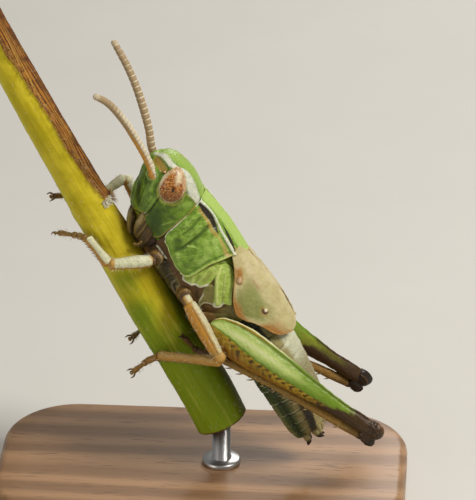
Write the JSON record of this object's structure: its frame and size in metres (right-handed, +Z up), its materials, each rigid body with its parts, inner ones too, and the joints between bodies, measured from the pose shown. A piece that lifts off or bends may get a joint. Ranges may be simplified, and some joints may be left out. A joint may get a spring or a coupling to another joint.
{
  "type": "meadow grasshopper on a plant stem",
  "caption": "Female short-winged meadow grasshopper clinging head up to a cut length of plant stem, as a still, life-size model on a small display stand.",
  "frame": {"origin": "middle of the whole model's footprint box, on the underside of the stand's base", "axes": "+Z up; the stem leans and the animal climbs towards -X, its back towards +X; its left side faces -Y and its right side +Y; -Y is the front"},
  "size_m": [0.0232, 0.013, 0.0281],
  "materials": {
    "cuticle_green": "satin green cuticle, paler on the keels and crown",
    "eye": "glossy orange-brown eye, finely faceted",
    "antenna": "matt ringed feeler",
    "mouthparts": "satin beige-olive cuticle",
    "thorax": "satin green and brown cuticle with pale seams",
    "abdomen": "satin tan and green cuticle in rings",
    "wing": "leathery veined forewing",
    "leg": "satin cream and orange-brown cuticle",
    "hind_leg": "satin light green cuticle with a mustard lower half",
    "knee": "satin brown-black cuticle",
    "stem": "ribbed yellow-green plant stem with a brown fibrous strip",
    "stand_wood": "oiled wood",
    "stand_steel": "brushed steel"
  },
  "bodies": {
    "root": {"abdomen": "abdomen", "antenna_L": "antenna", "antenna_R": "antenna", "eye_L": "eye", "eye_R": "eye", "foreleg_L_coxa": "leg", "foreleg_L_femur": "leg", "foreleg_L_tarsus": "leg", "foreleg_L_tibia": "leg", "foreleg_R_coxa": "leg", "foreleg_R_femur": "leg", "foreleg_R_tarsus": "leg", "foreleg_R_tibia": "leg", "forewing_L": "wing", "forewing_R": "wing", "head": "cuticle_green", "hindleg_L_coxa": "leg", "hindleg_L_femur": "hind_leg", "hindleg_L_knee": "knee", "hindleg_L_tarsus": "leg", "hindleg_L_tibia": "leg", "hindleg_R_coxa": "leg", "hindleg_R_femur": "hind_leg", "hindleg_R_knee": "knee", "hindleg_R_tarsus": "leg", "hindleg_R_tibia": "leg", "labrum": "mouthparts", "mandible_L": "mouthparts", "mandible_R": "mouthparts", "maxilla_L": "mouthparts", "maxilla_R": "mouthparts", "midleg_L_coxa": "leg", "midleg_L_femur": "leg", "midleg_L_tarsus": "leg", "midleg_L_tibia": "leg", "midleg_R_coxa": "leg", "midleg_R_femur": "leg", "midleg_R_tarsus": "leg", "midleg_R_tibia": "leg", "ovipositor_lower": "abdomen", "ovipositor_upper": "abdomen", "perch_stem": "stem", "pronotum": "cuticle_green", "stand_base": "stand_wood", "stand_rod": "stand_steel", "thorax": "thorax"}
  },
  "joints": []
}
